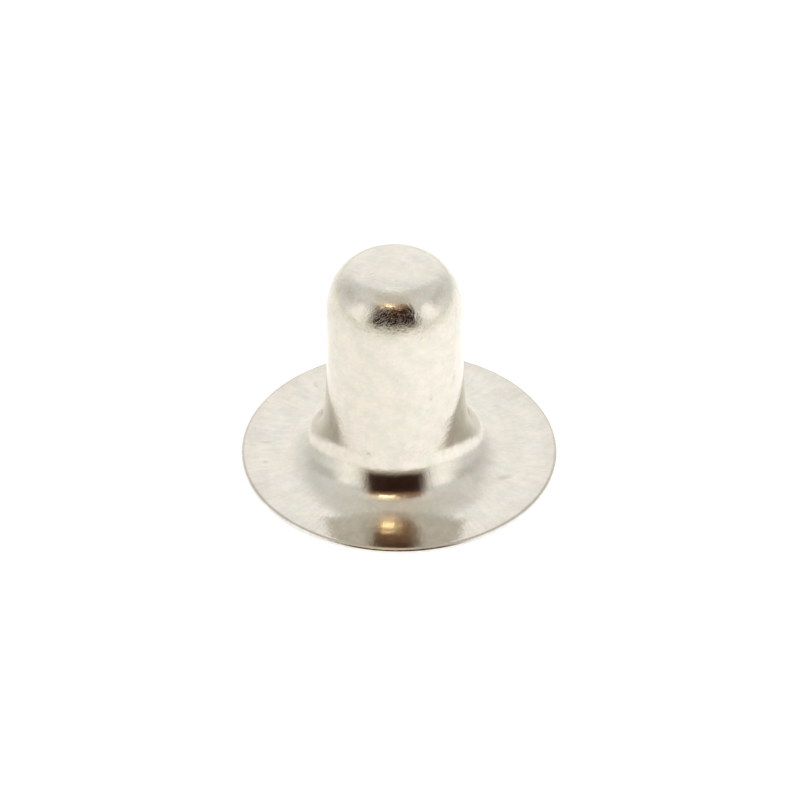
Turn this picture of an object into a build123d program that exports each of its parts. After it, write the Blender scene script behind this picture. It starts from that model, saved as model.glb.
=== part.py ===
from build123d import *
import math
import os

# Hollow rivet post, deep drawn from one thin plated blank: a round base flange,
# a concave foot, a hollow shank that is straight above its waist and eases outwards
# below it, and a closed end whose shoulder, nose and crown run into each other.
# It is open underneath, and it stands on the underside of its flange.
# Millimetres, +Z up along the shank, origin at the centre of the flange's underside.

# Driving dimensions
flange_dia = 8.0          # outside diameter of the base flange
shank_dia = 3.42          # outside diameter of the straight upper shank
height = 5.94             # underside of the flange to the crown, overall
sheet = 0.16              # thickness of the drawn sheet, the same everywhere
crown_radius = 5.7        # sphere of the closed end's shallow dome
nose_radius = 0.65        # tight convex bend between the shoulder and the crown
shoulder_radius = 1.45    # wide convex bend that closes the shank in
shoulder_turn = 42.0      # angle that the shoulder turns through before the nose, degrees
waist_radius = 17.5       # concave radius that eases the straight shank into its flare
flare = 7.0               # how far each side of the shank leans out above the foot, degrees
foot_radius = 1.22        # concave radius between the flared shank and the flange


def crown_turn():
    """Angle of the crown's arc, where it meets the nose's arc without a corner, degrees."""
    turn = math.radians(shoulder_turn)
    shoulder_reach = shoulder_radius * (1 - math.cos(turn)) + nose_radius * math.cos(turn)
    return math.degrees(math.asin((shank_dia / 2 - shoulder_reach) / (crown_radius - nose_radius)))


def nose_turn():
    """Angle of the nose's arc: what the shoulder and the crown leave of the right angle."""
    return 90 - shoulder_turn - crown_turn()


def waist_height():
    """Height at which the straight shank starts to flare, so that the foot meets the flange."""
    lean = math.radians(flare)
    return sheet + foot_radius * (1 - math.sin(lean)) + waist_radius * math.sin(lean)


def wall_line(depth):
    """The wall's outer side at a depth of 0, and its parallel inner side at one sheet."""
    side = shank_dia / 2 - depth
    crown = JernArc((0, height - depth), (1, 0), crown_radius - depth, -crown_turn())
    nose = JernArc(crown @ 1, crown % 1, nose_radius - depth, -nose_turn())
    shoulder = JernArc(nose @ 1, nose % 1, shoulder_radius - depth, -shoulder_turn)
    shank = Line((side, (shoulder @ 1).Y), (side, waist_height()))
    waist = JernArc(shank @ 1, (0, -1), waist_radius + depth, flare)
    foot = JernArc(waist @ 1, waist % 1, foot_radius + depth, 90 - flare)
    flange = Line(foot @ 1, (flange_dia / 2 - sheet / 2, sheet - depth))
    return crown @ 0, flange @ 1


def wall_section():
    """Half section of the drawn wall, closed on the axis and full round at the rim."""
    with BuildSketch(Plane.XZ) as section:
        with BuildLine():
            skin_crown, skin_rim = wall_line(0)
            lining_crown, lining_rim = wall_line(sheet)
            Line(skin_crown, lining_crown)
            ThreePointArc(skin_rim, (flange_dia / 2, sheet / 2), lining_rim)
        make_face()
    return section.sketch


def rivet_post():
    """The whole post: the wall section turned once round the shank's axis."""
    return revolve(wall_section(), axis=Axis.Z)


os.makedirs("parts", exist_ok=True)
post = rivet_post()
export_step(post, "parts/rivet_post.step")
box = post.bounding_box()
print("rivet_post", round(post.volume, 4), "mm3", box.min, box.max, "valid", post.is_valid)
print("waist height", round(waist_height(), 4), "crown turn", round(crown_turn(), 3))
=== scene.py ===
# %% [markdown]
# A hollow rivet post, dressed for a close-up.
# The real thing is one small drawn cup of thin sheet: a flat round flange, a foot
# that curves up from it, a hollow shank and a closed, rounded end, all plated with
# nickel. It is round and almost a mirror, so two things decide how it looks: how
# true its profile is, and what stands around it to be reflected.
# The measured model is loaded first. Everything below is built in its frame, in metres.

# %% load the measured model
import math

import bmesh
import bpy
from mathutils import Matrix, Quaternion, Vector, noise


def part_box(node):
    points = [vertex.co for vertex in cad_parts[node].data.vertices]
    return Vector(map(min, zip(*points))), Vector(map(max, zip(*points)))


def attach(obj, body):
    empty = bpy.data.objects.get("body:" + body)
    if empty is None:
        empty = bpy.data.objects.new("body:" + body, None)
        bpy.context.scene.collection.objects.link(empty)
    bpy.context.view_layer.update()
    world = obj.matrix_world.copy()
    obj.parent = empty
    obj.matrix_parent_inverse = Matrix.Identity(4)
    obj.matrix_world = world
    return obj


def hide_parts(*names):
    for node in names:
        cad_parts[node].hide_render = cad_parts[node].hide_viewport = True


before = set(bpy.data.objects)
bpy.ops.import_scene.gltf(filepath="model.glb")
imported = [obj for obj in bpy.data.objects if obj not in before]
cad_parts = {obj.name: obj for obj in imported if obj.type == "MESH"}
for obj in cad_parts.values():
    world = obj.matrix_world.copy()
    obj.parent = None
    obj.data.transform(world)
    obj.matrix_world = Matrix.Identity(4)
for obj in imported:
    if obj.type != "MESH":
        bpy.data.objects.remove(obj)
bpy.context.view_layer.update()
post_low, post_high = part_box("rivet_post")
print("rivet post from", post_low, "to", post_high)

# %% [markdown]
# The camera comes first, because it tells how much detail can be seen at all.
# The picture was taken from about 39 degrees above the table with a long lens, so
# the shank hardly narrows towards its top. A point a little above the flange sits
# in the middle of the frame. One millimetre of rivet is about 40 of the 800 pixels.

# %% set the camera
MM = 0.001
CAMERA_RISE = math.radians(38.65)
CAMERA_DISTANCE = 166 * MM
AIM = Vector((0.02 * MM, 0, 1.747 * MM))
PIXELS_PER_MM = 39.74
PICTURE_PIXELS = 800
SENSOR_WIDTH = 36

camera_data = bpy.data.cameras.new("studio_camera")
camera_data.sensor_width = SENSOR_WIDTH
camera_data.lens = PIXELS_PER_MM * (CAMERA_DISTANCE / MM) * SENSOR_WIDTH / PICTURE_PIXELS
camera_data.clip_start = 0.01
camera_data.clip_end = 10
camera = bpy.data.objects.new("studio_camera", camera_data)
camera.location = AIM + CAMERA_DISTANCE * Vector((0, -math.cos(CAMERA_RISE), math.sin(CAMERA_RISE)))
camera.rotation_euler = (math.pi / 2 - CAMERA_RISE, 0, 0)
bpy.context.scene.collection.objects.link(camera)
bpy.context.scene.camera = camera
print("lens", round(camera_data.lens, 1), "mm")

# %% [markdown]
# The profile is a chain of arcs and straight runs that meet without a corner, which
# is how a drawing punch leaves sheet metal. It could be typed in as a list of
# points, but then nobody could change a radius. Here a single vertex is walked along
# instead: spin turns it about the centre of a bend, and an extrude with a move makes
# a straight run. Both leave a string of edges behind the vertex.

# %% two ways to walk a vertex
def bend(bm, tip, heading, radius, turn, step):
    """Carry the tip round an arc of so many degrees, and turn its heading. Positive is to the right."""
    side = 1 if turn > 0 else -1
    centre = tip.co + side * radius * Vector((heading.z, 0, -heading.x))
    count = max(2, math.ceil(radius * math.radians(abs(turn)) / step))
    made = bmesh.ops.spin(bm, geom=[tip], cent=centre, axis=(0, 1, 0),
                          angle=math.radians(turn), steps=count)
    heading.rotate(Quaternion((0, 1, 0), math.radians(turn)))
    return [item for item in made["geom_last"] if isinstance(item, bmesh.types.BMVert)][0]


def run(bm, tip, heading, length, step):
    """Carry the tip straight on."""
    count = max(1, math.ceil(length / step))
    for _ in range(count):
        tip = bmesh.ops.extrude_vert_indiv(bm, verts=[tip])["verts"][0]
        bmesh.ops.translate(bm, verts=[tip], vec=heading * (length / count))
    return tip


# %% [markdown]
# A bend is written as a radius in millimetres and a turn in degrees. The shoulder
# tightens in four bends from the shank to the crown, and below the shank the wall
# eases out through a long waist into the foot. The flange leaves the foot rising by
# a hair and levels off at its rim.

# %% the sizes of the drawn wall
SHEET = 0.16 * MM
HEIGHT = post_high[2]
SHANK_RADIUS = 1.71 * MM
RIM_RADIUS = post_high[0]
SHOULDER_BENDS = [(0.70, 16.4), (0.79, 23.0), (1.16, 25.0), (1.89, 20.0)]
WAIST_BENDS = [(30.0, 3.0), (8.3, 5.0)]
FOOT_BENDS = [(1.53, 12.0), (1.40, 20.0), (0.86, 25.0), (1.81, 27.3)]
FLARE_BENDS = WAIST_BENDS + FOOT_BENDS
FLANGE_LEVELLING = 2.2
SKIN_STEP = 0.065 * MM
LINING_STEP = 0.13 * MM

crown_turn = 90 - sum(turn for _, turn in SHOULDER_BENDS)
foot_rise = sum(turn for _, turn in FLARE_BENDS) - 90
print("crown turns", round(crown_turn, 1), "degrees, flange rises", round(foot_rise, 1), "degrees")

# %% [markdown]
# The crown's radius, the radius over which the flange levels off and the length of the
# straight shank can't be chosen. They take up whatever width and height the bends
# leave, so a scratch walk first measures how far each chain of bends leads.

# %% what the bends leave over
def walk(bm, tip, heading, bends, step, side=1, grow=0.0):
    """Carry the tip through a chain of bends, all to one side, with every radius grown."""
    for radius, turn in bends:
        tip = bend(bm, tip, heading, radius * MM + grow, side * turn, step)
    return tip


def span(bends, start, side=1):
    """How far across and up a chain of bends leads, from a heading in degrees below level."""
    scratch = bmesh.new()
    heading = Vector((math.cos(math.radians(start)), 0, -math.sin(math.radians(start))))
    tip = walk(scratch, scratch.verts.new((0, 0, 0)), heading, bends, SKIN_STEP, side)
    reach = tip.co.copy()
    scratch.free()
    return reach


shoulder_span = span(SHOULDER_BENDS, crown_turn)
crown_radius = (SHANK_RADIUS - shoulder_span.x) / math.sin(math.radians(crown_turn))
crown_drop = crown_radius * (1 - math.cos(math.radians(crown_turn)))
foot_span = span(FLARE_BENDS, 90, -1)
flange_run = RIM_RADIUS - SHEET / 2 - SHANK_RADIUS - foot_span.x
levelled = math.sin(math.radians(foot_rise)) - math.sin(math.radians(foot_rise - FLANGE_LEVELLING))
flange_radius = flange_run / levelled
low_point = (FOOT_BENDS[-1][0] * MM) * (1 - math.cos(math.radians(foot_rise)))
shank_length = HEIGHT - crown_drop + shoulder_span.z + foot_span.z - SHEET + low_point
print("crown radius", round(crown_radius / MM, 2), "straight shank", round(shank_length / MM, 3),
      "flange radius", round(flange_radius / MM, 1), "mm")

# %% [markdown]
# The outer skin is walked from the crown down to the rim, the rim is one half turn,
# and the lining is walked back up with every radius changed by the sheet's thickness.
# Walking both sides gives a wall of even thickness with a round rim, which a
# solidified surface would leave square.

# %% walk the profile
profile = bmesh.new()
heading = Vector((1, 0, 0))
tip = profile.verts.new((0, 0, HEIGHT))
tip = bend(profile, tip, heading, crown_radius, crown_turn, SKIN_STEP)
tip = walk(profile, tip, heading, SHOULDER_BENDS, SKIN_STEP)
tip = run(profile, tip, heading, shank_length, SKIN_STEP)
tip = walk(profile, tip, heading, FLARE_BENDS, SKIN_STEP, -1)
tip = bend(profile, tip, heading, flange_radius, FLANGE_LEVELLING, SKIN_STEP)
tip = bend(profile, tip, heading, SHEET / 2, 180, SKIN_STEP / 2)
tip = bend(profile, tip, heading, flange_radius - SHEET, -FLANGE_LEVELLING, LINING_STEP)
tip = walk(profile, tip, heading, reversed(FLARE_BENDS), LINING_STEP, 1, SHEET)
tip = run(profile, tip, heading, shank_length, LINING_STEP)
tip = walk(profile, tip, heading, reversed(SHOULDER_BENDS), LINING_STEP, -1, -SHEET)
tip = bend(profile, tip, heading, crown_radius - SHEET, -crown_turn, LINING_STEP)
print("profile of", len(profile.verts), "points, ending at", [round(c / MM, 4) for c in tip.co], "mm")

# %% [markdown]
# One full turn of the profile makes the whole post. Spin with use_merge joins the
# last copy to the first, and both ends of the profile lie on the axis, so merging
# doubles closes the two poles. Only then are the normals worked out, and all faces
# of this closed wall point away from the metal.

# %% spin the post
TURN_STEPS = 320
MERGE_DISTANCE = 0.0005 * MM

bmesh.ops.spin(profile, geom=profile.verts[:] + profile.edges[:], cent=(0, 0, 0), axis=(0, 0, 1),
               angle=math.tau, steps=TURN_STEPS, use_merge=True)
bmesh.ops.remove_doubles(profile, verts=profile.verts, dist=MERGE_DISTANCE)
bmesh.ops.recalc_face_normals(profile, faces=profile.faces)
for face in profile.faces:
    face.smooth = True
print("post of", len(profile.faces), "faces,", round(profile.calc_volume() / MM ** 3, 3), "mm3 of metal")

# %% [markdown]
# No drawn part is perfectly true. This one has its shank and foot a hair to the left
# of the flange's middle and leans a third of a degree, its wall wavers by a few
# thousandths of a millimetre, and it has picked up pits and nicks in handling. Each
# is a small move of the mesh. The offset fades out across the flat flange, where a
# sideways move doesn't tilt the surface, so the foot stays as round as it was drawn.
# Waver and nicks move the wall along its outer side's normal, and the lining moves the
# same way, because a dent in thin sheet shows on both sides. A layer on the vertices
# remembers how deep in a nick each one lies, so that the finish can paint shade into the nicks later.

# %% press in the irregularities
MICRON = 0.001 * MM
SHANK_OFFSET = -0.086 * MM
SHANK_LEAN = math.radians(-0.35)
FOOT_REACH = 2.55 * MM
WAVER = [(0.9, 2.4 * MICRON), (2.6, 0.7 * MICRON)]
NICKS = [
    # place, direction, half length and half width in mm, depth in micrometres
    ((0.06, -1.71, 3.73), (1, 0, 0), 0.07, 0.05, 3),
    ((1.46, -0.88, 3.19), (0.3, 0.5, 1), 0.12, 0.07, 6),
    ((0.89, -1.46, 2.95), (1, 0.6, 1), 0.09, 0.06, 4),
    ((0.79, -1.52, 2.61), (1, 0.5, 0), 0.07, 0.05, 3),
    ((-0.68, -1.70, 1.33), (1, -0.4, 0), 0.10, 0.06, 5),
    ((-0.55, -0.23, 5.93), (1, 0.6, 0), 0.08, 0.05, 3),
    ((-1.05, 1.33, 3.60), (1, 0.8, 0.5), 0.10, 0.06, 4),
    ((1.30, 1.14, 4.20), (0, 0, 1), 0.09, 0.06, 4),
    ((-1.68, 0.30, 2.70), (0, 0.3, 1), 0.12, 0.06, 4),
    ((2.69, -1.17, 0.16), (1, 0.5, 0), 0.34, 0.13, 5),
    ((1.93, 0.52, 0.60), (0.3, 1, 0.3), 0.16, 0.09, 6),
    ((2.54, 1.74, 0.16), (1, 0.3, 0), 0.12, 0.07, 3),
    ((-3.30, 0.28, 0.16), (1, 0.05, 0), 0.30, 0.06, 3),
    ((-3.35, -0.52, 0.16), (1, 0.2, 0), 0.12, 0.08, 3),
    ((-2.10, 2.60, 0.16), (0.6, -1, 0), 0.20, 0.06, 1.5),
]

profile.normal_update()
nick_layer = profile.verts.layers.float.new("nick_depth")
outward = {}
for vert in profile.verts:
    from_axis = Vector((vert.co.x, vert.co.y, 0)).normalized()
    on_skin = vert.normal.z + vert.normal.dot(from_axis) > 0
    outward[vert] = vert.normal.copy() if on_skin else -vert.normal
for vert in profile.verts:
    place = vert.co / MM
    push = sum(size * noise.noise(place * pitch) for pitch, size in WAVER)
    for centre, direction, half_length, half_width, depth in NICKS:
        away = place - Vector(centre)
        if away.length > half_length:
            continue
        along = away.dot(Vector(direction).normalized())
        across = math.sqrt(max(0, away.length_squared - along * along))
        inside = max(0, 1 - (along / half_length) ** 2 - (across / half_width) ** 2)
        push -= depth * MICRON * inside ** 2
        vert[nick_layer] = max(vert[nick_layer], inside ** 2)
    reach = math.hypot(vert.co.x, vert.co.y)
    fade = min(1, max(0, (RIM_RADIUS - reach) / (RIM_RADIUS - FOOT_REACH)))
    shift = outward[vert] * push
    shift.x += fade * SHANK_OFFSET + math.tan(SHANK_LEAN) * max(0, vert.co.z - SHEET)
    vert.co += shift
print("nicked vertices:", sum(1 for vert in profile.verts if vert[nick_layer] > 0))

# %% [markdown]
# The shape is finished, so the mesh goes onto one object, because the real thing is
# one piece. The object stays at the origin, unturned and unscaled: the rivet's place
# is in its mesh, in the frame of the measured model.

# %% hang the mesh on an object
post_mesh = bpy.data.meshes.new("rivet_post_plated")
profile.to_mesh(post_mesh)
profile.free()
post = bpy.data.objects.new("rivet_post_plated", post_mesh)
bpy.context.scene.collection.objects.link(post)
print("mesh of", len(post_mesh.vertices), "vertices and", len(post_mesh.polygons), "faces")

# %% [markdown]
# The finish is bright nickel over drawn sheet. Clean nickel would be one colour and
# one roughness, but the real skin has a grain like orange peel where the sheet was
# stretched, faint lines along the way the metal was drawn, and a light uneven
# tarnish. A picture texture would fix all that at one distance. Noises that are read
# from the object's own coordinates stay sharp at any, and each can be tuned alone.
# The helpers below each add one or a few nodes, so that later cells read like recipes.

# %% a few node helpers
def link_math(tree, operation, first, second=None, third=None):
    """A math node, given sockets or numbers."""
    node = tree.nodes.new("ShaderNodeMath")
    node.operation = operation
    for slot, value in enumerate((first, second, third)):
        if isinstance(value, bpy.types.NodeSocket):
            tree.links.new(value, node.inputs[slot])
        elif value is not None:
            node.inputs[slot].default_value = value
    return node.outputs[0]


def more_on(tree, value, where, least, extra):
    """A value times the least where a mask is 0, and times the least plus the extra where it is 1."""
    return link_math(tree, "MULTIPLY", value, link_math(tree, "MULTIPLY_ADD", where, extra, least))


def soft_edge(tree, value, start, end):
    """0 below start and 1 above end, with a smooth step."""
    node = tree.nodes.new("ShaderNodeMapRange")
    node.interpolation_type = "SMOOTHSTEP"
    for name, source in (("Value", value), ("From Min", start), ("From Max", end)):
        if isinstance(source, bpy.types.NodeSocket):
            tree.links.new(source, node.inputs[name])
        else:
            node.inputs[name].default_value = source
    return node.outputs["Result"]


def speckle(tree, vector, scale, detail, roughness=0.5):
    """A noise of so many lumps a millimetre."""
    node = tree.nodes.new("ShaderNodeTexNoise")
    tree.links.new(vector, node.inputs["Vector"])
    node.inputs["Scale"].default_value = scale
    node.inputs["Detail"].default_value = detail
    node.inputs["Roughness"].default_value = roughness
    return node.outputs["Fac"]


def blend_colour(tree, factor, first, second):
    """Mix two colours, given sockets or values."""
    node = tree.nodes.new("ShaderNodeMix")
    node.data_type = "RGBA"
    node.clamp_result = False
    tree.links.new(factor, node.inputs[0])
    for slot, value in ((6, first), (7, second)):
        if isinstance(value, bpy.types.NodeSocket):
            tree.links.new(value, node.inputs[slot])
        else:
            node.inputs[slot].default_value = (*value, 1)
    return node.outputs[2]


def hollow_out(tree, height, depth, normal=None):
    """A bump of so many millimetres for a height of 1."""
    node = tree.nodes.new("ShaderNodeBump")
    node.inputs["Strength"].default_value = 1
    node.inputs["Distance"].default_value = depth * MM
    tree.links.new(height, node.inputs["Height"])
    if normal is not None:
        tree.links.new(normal, node.inputs["Normal"])
    return node.outputs["Normal"]


def hairlines(tree, vector, turn, along, across, width):
    """Thin wandering scratches in one direction: where a drawn-out noise crosses its middle."""
    turned = tree.nodes.new("ShaderNodeVectorRotate")
    turned.rotation_type = "EULER_XYZ"
    turned.inputs["Rotation"].default_value = [math.radians(angle) for angle in turn]
    tree.links.new(vector, turned.inputs["Vector"])
    drawn_out = tree.nodes.new("ShaderNodeVectorMath")
    drawn_out.operation = "MULTIPLY"
    drawn_out.inputs[1].default_value = (along, across, across)
    tree.links.new(turned.outputs["Vector"], drawn_out.inputs[0])
    lump = speckle(tree, drawn_out.outputs["Vector"], 1.0, 1)
    off_middle = link_math(tree, "ABSOLUTE", link_math(tree, "SUBTRACT", lump, 0.5))
    return link_math(tree, "SUBTRACT", 1, soft_edge(tree, off_middle, 0.0, width))


print("node helpers are ready")

# %% [markdown]
# First the places that the finish needs: millimetres from the middle of the flange's
# underside, the distance from the axis, and a coordinate that changes fast round the
# axis and slowly outwards on the flange or upwards on the shank. A noise of that last
# one gives lines along the way the sheet was drawn.

# %% the nickel's coordinates
DRAW_LINES_ROUND = 30
DRAW_LINES_ALONG = 1.4
AXIS_CORE = 0.01

nickel = bpy.data.materials.new("bright_nickel")
nickel.use_nodes = True
tree = nickel.node_tree
shader = tree.nodes["Principled BSDF"]
in_mm = tree.nodes.new("ShaderNodeVectorMath")
in_mm.operation = "SCALE"
in_mm.inputs["Scale"].default_value = 1 / MM
tree.links.new(tree.nodes.new("ShaderNodeTexCoord").outputs["Object"], in_mm.inputs[0])
place = in_mm.outputs["Vector"]
axes = tree.nodes.new("ShaderNodeSeparateXYZ")
tree.links.new(place, axes.inputs[0])
squares = [link_math(tree, "POWER", axes.outputs[axis], 2) for axis in "XY"]
radius = link_math(tree, "SQRT", link_math(tree, "ADD", *squares))
safe_radius = link_math(tree, "MAXIMUM", radius, AXIS_CORE)
drawn = tree.nodes.new("ShaderNodeCombineXYZ")
for axis in "XY":
    share = link_math(tree, "DIVIDE", axes.outputs[axis], safe_radius)
    tree.links.new(link_math(tree, "MULTIPLY", share, DRAW_LINES_ROUND), drawn.inputs[axis])
along = link_math(tree, "ADD", radius, axes.outputs["Z"])
tree.links.new(link_math(tree, "MULTIPLY", along, DRAW_LINES_ALONG), drawn.inputs["Z"])
print("coordinates from", len(tree.nodes), "nodes")

# %% [markdown]
# The finish changes along the wall. Each part gets a mask with a soft edge, between two
# distances from the axis in millimetres, or for the shoulder between two heights.

# %% masks for the parts of the wall
on_foot = soft_edge(tree, radius, 1.78, 2.05)
on_flange = soft_edge(tree, radius, 2.5, 3.0)
near_rim = soft_edge(tree, radius, 3.3, 3.95)
on_rim = soft_edge(tree, radius, 3.955, 3.985)
rim_edge = link_math(tree, "SUBTRACT", soft_edge(tree, radius, 3.90, 3.94), on_rim)
on_shoulder = soft_edge(tree, axes.outputs["Z"], 4.2, 5.0)
print("masks bring it to", len(tree.nodes), "nodes")

# %% [markdown]
# Nickel's own colour is a warm pale grey. Thin tarnish shifts it a little to rose or
# to green in patches of a millimetre or so, and to straw in smaller ones. A fractal
# noise, from lumps of half a millimetre down to the finest grain, makes it lighter
# and darker by a few percent. The even floor that the shank mirrors would hide any
# bump, so this has to be in the colour. Two marks here are painted light: the paler
# outer side of the rim is a painted reflection of the white floor, and the darker
# nicks are painted shade.

# %% colour
ROSY = (0.742, 0.684, 0.612)
GREENISH = (0.718, 0.692, 0.614)
STRAW = (0.738, 0.690, 0.575)
RIM_TONE = (0.69, 0.645, 0.575)
WORN_EDGE = (0.60, 0.53, 0.44)
RIM_SIDE_PAINTED_SHEEN = (0.80, 0.785, 0.75)
NICK_SHADE_TONE = (0.38, 0.35, 0.27)
RIM_TARNISH = 0.8
EDGE_WEAR = 0.8
NICK_PAINTED_SHADE = 0.45
SHADE_LEAST = 0.78
SHADE_SWING = 0.44
STREAKS = 0.05
FLANGE_STREAKS = 0.16

draw_marks = speckle(tree, drawn.outputs["Vector"], 1.0, 3, 0.65)
patches = soft_edge(tree, speckle(tree, place, 1.3, 4, 0.65), 0.36, 0.64)
straw = soft_edge(tree, speckle(tree, place, 3.1, 4, 0.65), 0.50, 0.74)
tint = blend_colour(tree, patches, GREENISH, ROSY)
tint = blend_colour(tree, straw, tint, STRAW)
tint = blend_colour(tree, link_math(tree, "MULTIPLY", near_rim, RIM_TARNISH), tint, RIM_TONE)
tint = blend_colour(tree, link_math(tree, "MULTIPLY", rim_edge, EDGE_WEAR), tint, WORN_EDGE)
# painted reflection: the rim's outer side is made paler, so that it blends into the white floor it
# mirrors
tint = blend_colour(tree, on_rim, tint, RIM_SIDE_PAINTED_SHEEN)
# painted shade: the colour darkens towards a dark brown tone where the nicks are deepest
nick = tree.nodes.new("ShaderNodeAttribute")
nick.attribute_name = "nick_depth"
tint = blend_colour(tree, link_math(tree, "MULTIPLY", nick.outputs["Fac"], NICK_PAINTED_SHADE), tint, NICK_SHADE_TONE)

shade = link_math(tree, "MULTIPLY_ADD", speckle(tree, place, 2.6, 6, 0.74), SHADE_SWING, SHADE_LEAST)
streaks = link_math(tree, "SUBTRACT", draw_marks, 0.5)
streaks = more_on(tree, streaks, on_flange, STREAKS, FLANGE_STREAKS)
shade = link_math(tree, "ADD", shade, streaks)
shaded = tree.nodes.new("ShaderNodeVectorMath")
shaded.operation = "SCALE"
tree.links.new(tint, shaded.inputs[0])
tree.links.new(shade, shaded.inputs["Scale"])
tree.links.new(shaded.outputs["Vector"], shader.inputs["Base Color"])
print("colour brings it to", len(tree.nodes), "nodes")

# %% [markdown]
# Handling leaves smudges everywhere. The foot, where the sheet was bent and stretched,
# is a little more satin than the shank. The flat flange is as bright as the shank, and
# the rim is worn dull, most of all at its edge.

# %% roughness
POLISH = 0.06
SMUDGES = 0.10
EXTRA_ROUGHNESS = [(on_foot, 0.04), (on_flange, -0.04), (rim_edge, 0.20), (on_rim, 0.10)]

smudge = speckle(tree, place, 2.2, 4, 0.6)
rough = link_math(tree, "MULTIPLY_ADD", smudge, SMUDGES, POLISH)
for where, extra in EXTRA_ROUGHNESS:
    rough = link_math(tree, "MULTIPLY_ADD", where, extra, rough)
tree.links.new(rough, shader.inputs["Roughness"])
print("roughness brings it to", len(tree.nodes), "nodes")

# %% [markdown]
# The relief is a few thousandths of a millimetre deep: orange peel and a finer grain,
# both strongest on the shoulder where the sheet was stretched most, lines along the
# draw, and hairline scratches in three directions. The scratches come in patches, and
# they are five times as deep on the shoulder as below it. None of the relief shows on
# the even parts of the reflection, and all of it frays the edges of the dark patches.

# %% relief
PEEL_DEPTH = 0.0085
GRAIN_DEPTH = 0.0040
DRAW_DEPTH = 0.0012
SCRATCH_DEPTH = 0.0011
SCRATCH_WIDTH = 0.02
SCRATCHES = [
    # turn in degrees, turns of the noise a millimetre along and across
    ((20, 35, 10), 1.6, 14),
    ((80, -20, 65), 1.8, 13),
    ((-40, 70, 130), 1.8, 13),
]

peel = more_on(tree, speckle(tree, place, 6.0, 3, 0.6), on_shoulder, 0.25, 0.75)
grain = more_on(tree, speckle(tree, place, 17.0, 2, 0.6), on_shoulder, 0.25, 0.4)
scratch, *others = [hairlines(tree, place, *shape, SCRATCH_WIDTH) for shape in SCRATCHES]
for lines in others:
    scratch = link_math(tree, "MAXIMUM", scratch, lines)
scratched = soft_edge(tree, speckle(tree, place, 1.1, 3), 0.42, 0.60)
scratch = link_math(tree, "MULTIPLY", scratch, scratched)
scratch = more_on(tree, scratch, on_shoulder, 0.2, 0.8)
normal = hollow_out(tree, peel, PEEL_DEPTH)
normal = hollow_out(tree, grain, GRAIN_DEPTH, normal)
normal = hollow_out(tree, draw_marks, DRAW_DEPTH, normal)
normal = hollow_out(tree, scratch, -SCRATCH_DEPTH, normal)
tree.links.new(normal, shader.inputs["Normal"])
shader.inputs["Metallic"].default_value = 1
post_mesh.materials.append(nickel)
print("nickel material with", len(tree.nodes), "nodes")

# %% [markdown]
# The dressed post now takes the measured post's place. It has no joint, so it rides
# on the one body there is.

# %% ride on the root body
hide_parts("rivet_post")
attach(post, "root")

# %% [markdown]
# The set is a small light tent: a pale floor, and a dome of cloth all round it that
# glows at different strengths. A metal shows nothing but its surroundings, so the
# pattern on the dome is what draws the rivet. It could be many separate cards, but
# cloth has no hard edges, so one dome is painted with soft windows instead. A window
# is a patch between two bearings and two rises, as the rivet sees them, in degrees.
# Bearing 0 is the camera's side and bearings grow to its right.
# The group below gives 1 inside a window and 0 outside, with a smooth step between.

# %% a soft window on the tent
WINDOW_SIZES = {"Middle": 0, "Half Width": 40, "Low": 0, "High": 90, "Soft Across": 6, "Soft Up": 6}

window = bpy.data.node_groups.new("tent_window", "ShaderNodeTree")
for name, default in {"Bearing": 0, "Rise": 0, **WINDOW_SIZES}.items():
    socket = window.interface.new_socket(name, in_out="INPUT", socket_type="NodeSocketFloat")
    socket.default_value = default
window.interface.new_socket("Mask", in_out="OUTPUT", socket_type="NodeSocketFloat")
into = window.nodes.new("NodeGroupInput").outputs


def soft_step(value, level, softness):
    """0 below a level and 1 above it, with a smooth step as wide as the softness across it."""
    half = link_math(window, "MULTIPLY", softness, 0.5)
    start = link_math(window, "SUBTRACT", level, half)
    end = link_math(window, "ADD", level, half)
    return soft_edge(window, value, start, end)


away = link_math(window, "SUBTRACT", into["Bearing"], into["Middle"])
away = link_math(window, "WRAP", away, 180, -180)
away = link_math(window, "ABSOLUTE", away)
beside = soft_step(away, into["Half Width"], into["Soft Across"])
above_low = soft_step(into["Rise"], into["Low"], into["Soft Up"])
above_high = soft_step(into["Rise"], into["High"], into["Soft Up"])
across = link_math(window, "SUBTRACT", 1, beside)
upwards = link_math(window, "MULTIPLY", above_low, link_math(window, "SUBTRACT", 1, above_high))
mask = link_math(window, "MULTIPLY", across, upwards)
window.links.new(mask, window.nodes.new("NodeGroupOutput").inputs["Mask"])
print("window group with", len(window.nodes), "nodes")

# %% [markdown]
# Each row below is one window: what it stands for, where it is, how soft its edges
# are, and the light that the cloth gives there, where 1 is white paper. Later rows
# lie over earlier ones. The dark one is the opening that the camera looks through,
# and it is what makes the two dark patches on the rivet. The gaps beside the side
# lights darken the two wedges beside the foot.

# %% paint the tent
TENT_WINDOWS = [
    # name, middle, half width, low, high, soft across, soft up, colour
    ("back wall", 180, 37, -20, 52, 30, 14, (1.11, 1.12, 1.12)),
    ("left side light", 297, 22, -20, 38, 42, 14, (1.18, 1.18, 1.14)),
    ("right side light", 65, 22, -20, 38, 43, 14, (1.20, 1.20, 1.17)),
    ("gap beside the left light", 258, 20, 17, 38, 20, 10, (0.66, 0.65, 0.63)),
    ("gap beside the right light", 102, 20, 17, 38, 20, 10, (0.66, 0.65, 0.63)),
    ("roof", 180, 400, 71, 100, 6, 38, (0.68, 0.64, 0.56)),
    ("cloth under the camera", -2, 43, -20, 75, 28, 20, (0.50, 0.43, 0.34)),
    ("camera opening", 0, 39, 7, 58, 15, 8, (0.03, 0.013, 0.008)),
    ("hood over the camera", 2, 38, 48, 65, 6, 6, (0.26, 0.15, 0.09)),
    ("warm lamp", -19, 22, 58, 72, 26, 8, (1.22, 0.98, 0.71)),
    ("bright rim of the lamp", -14, 10, 58, 62, 3, 2, (5.0, 4.0, 2.3)),
]
TENT_CLOTH = (0.80, 0.81, 0.80)

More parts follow.
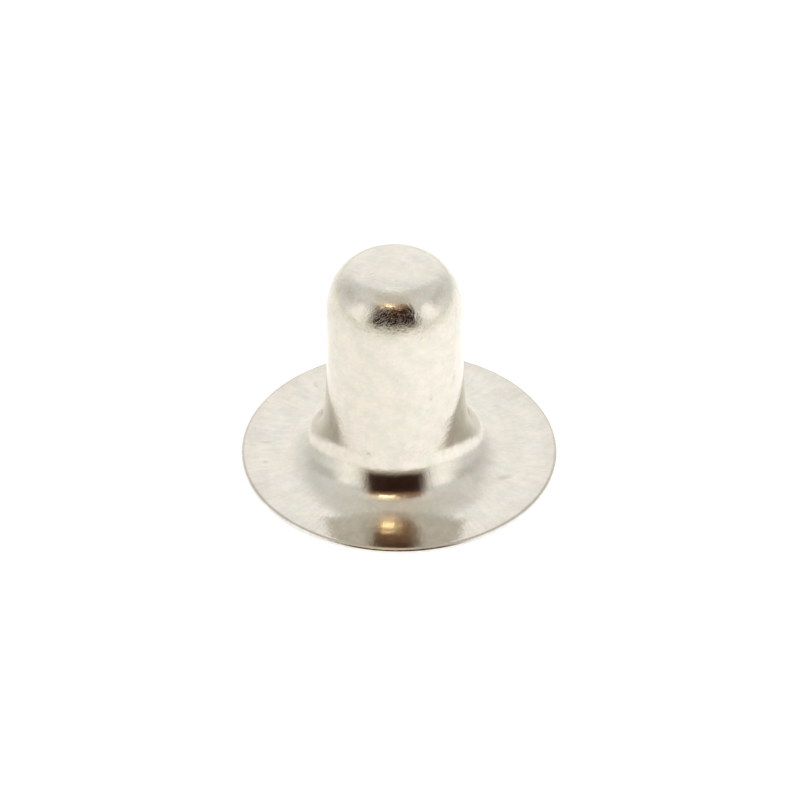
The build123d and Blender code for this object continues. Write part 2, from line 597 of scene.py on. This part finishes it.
tent_material = bpy.data.materials.new("tent_cloth")
tent_material.use_nodes = True
tree = tent_material.node_tree
tree.nodes.clear()
position = tree.nodes.new("ShaderNodeTexCoord").outputs["Object"]
direction = tree.nodes.new("ShaderNodeVectorMath")
direction.operation = "NORMALIZE"
tree.links.new(position, direction.inputs[0])
split = tree.nodes.new("ShaderNodeSeparateXYZ")
tree.links.new(direction.outputs["Vector"], split.inputs[0])
rise = link_math(tree, "DEGREES", link_math(tree, "ARCSINE", split.outputs["Z"]))
towards = link_math(tree, "MULTIPLY", split.outputs["Y"], -1)
bearing = link_math(tree, "DEGREES", link_math(tree, "ARCTAN2", split.outputs["X"], towards))
cloth = TENT_CLOTH
for name, *sizes, colour in TENT_WINDOWS:
    patch = tree.nodes.new("ShaderNodeGroup")
    patch.node_tree = window
    patch.label = name
    tree.links.new(bearing, patch.inputs["Bearing"])
    tree.links.new(rise, patch.inputs["Rise"])
    for socket, value in zip(WINDOW_SIZES, sizes):
        patch.inputs[socket].default_value = value
    cloth = blend_colour(tree, patch.outputs["Mask"], cloth, colour)
emission = tree.nodes.new("ShaderNodeEmission")
tree.links.new(cloth, emission.inputs["Color"])
output = tree.nodes.new("ShaderNodeOutputMaterial")
tree.links.new(emission.outputs["Emission"], output.inputs["Surface"])
tent_material.cycles.emission_sampling = "NONE"
print("tent cloth with", len(TENT_WINDOWS), "windows")

# %% [markdown]
# The tent itself is the part of a sphere that stands above the floor. It is far
# larger than the rivet, so every point of the metal sees it in the same directions.
# The camera looks through it, and it belongs to the set, not to the rivet.

# %% hang the tent
TENT_RADIUS = 0.3
TENT_HEM = -0.001

tent_bm = bmesh.new()
bmesh.ops.create_uvsphere(tent_bm, u_segments=96, v_segments=48, radius=TENT_RADIUS)
bmesh.ops.bisect_plane(tent_bm, geom=tent_bm.verts[:] + tent_bm.edges[:] + tent_bm.faces[:],
                       plane_co=(0, 0, TENT_HEM), plane_no=(0, 0, 1), clear_inner=True)
tent_mesh = bpy.data.meshes.new("light_tent")
tent_bm.to_mesh(tent_mesh)
tent_bm.free()
tent_mesh.materials.append(tent_material)
tent = bpy.data.objects.new("light_tent", tent_mesh)
tent.visible_camera = False
bpy.context.scene.collection.objects.link(tent)
print("tent of", len(tent_mesh.polygons), "faces")

# %% [markdown]
# The rivet stands on white paper, which fills the picture and takes its shadow. The
# shank and the foot mirror the paper too, so its light matters twice. Most of it is a
# painted glow that only the camera, mirror and glass rays see: a painted pool of light,
# fullest on the right of the rivet, where the brighter side light stands, that falls off,
# a little warmer, towards the walls of the tent. A little diffuse grey is what takes the shadow.

# %% lay the floor
FLOOR_LEFT = (0.93, 0.92, 0.90)
FLOOR_RIGHT = (1.07, 1.08, 1.07)
FLOOR_FAR = (0.62, 0.61, 0.53)
PAPER = (0.3, 0.3, 0.3)
SIDE_REACH = 8 * MM
EVEN_TO_MM = 9
FALLEN_OFF_AT_MM = 150
FLOOR_HALF = 0.5

floor_bm = bmesh.new()
bmesh.ops.create_grid(floor_bm, x_segments=1, y_segments=1, size=FLOOR_HALF)
floor_mesh = bpy.data.meshes.new("floor")
floor_bm.to_mesh(floor_mesh)
floor_bm.free()
floor = bpy.data.objects.new("floor", floor_mesh)
bpy.context.scene.collection.objects.link(floor)
floor_material = bpy.data.materials.new("pale_floor")
floor_material.use_nodes = True
tree = floor_material.node_tree
tree.nodes.clear()
path = tree.nodes.new("ShaderNodeLightPath")
seen = link_math(tree, "MAXIMUM", path.outputs["Is Camera Ray"], path.outputs["Is Glossy Ray"])
seen = link_math(tree, "MAXIMUM", seen, path.outputs["Is Transmission Ray"])
floor_place = tree.nodes.new("ShaderNodeTexCoord").outputs["Object"]
away = tree.nodes.new("ShaderNodeVectorMath")
away.operation = "LENGTH"
tree.links.new(floor_place, away.inputs[0])
reach = link_math(tree, "LOGARITHM", link_math(tree, "DIVIDE", away.outputs["Value"], MM), 10)
far = soft_edge(tree, reach, math.log10(EVEN_TO_MM), math.log10(FALLEN_OFF_AT_MM))
split = tree.nodes.new("ShaderNodeSeparateXYZ")
tree.links.new(floor_place, split.inputs[0])
side = soft_edge(tree, split.outputs["X"], -SIDE_REACH, SIDE_REACH)
# painted light: the glow is brighter on the right and falls off away from the rivet
painted_glow = blend_colour(tree, far, blend_colour(tree, side, FLOOR_LEFT, FLOOR_RIGHT), FLOOR_FAR)
diffuse = tree.nodes.new("ShaderNodeBsdfDiffuse")
diffuse.inputs["Color"].default_value = (*PAPER, 1)
emission = tree.nodes.new("ShaderNodeEmission")
tree.links.new(painted_glow, emission.inputs["Color"])
tree.links.new(seen, emission.inputs["Strength"])
plus = tree.nodes.new("ShaderNodeAddShader")
output = tree.nodes.new("ShaderNodeOutputMaterial")
tree.links.new(diffuse.outputs[0], plus.inputs[0])
tree.links.new(emission.outputs[0], plus.inputs[1])
tree.links.new(plus.outputs[0], output.inputs["Surface"])
floor_mesh.materials.append(floor_material)
print("floor material with", len(tree.nodes), "nodes")

# %% [markdown]
# Behind the paper there is only a white world. The standard view transform shows every
# colour as it is written.

# %% the world and the view
world = bpy.data.worlds.new("white_room")
world.use_nodes = True
background = world.node_tree.nodes["Background"]
background.inputs["Color"].default_value = (1, 1, 1, 1)
background.inputs["Strength"].default_value = 1
world.cycles.sampling_method = "NONE"
bpy.context.scene.world = world
bpy.context.scene.view_settings.view_transform = "Standard"
print("view transform", bpy.context.scene.view_settings.view_transform)
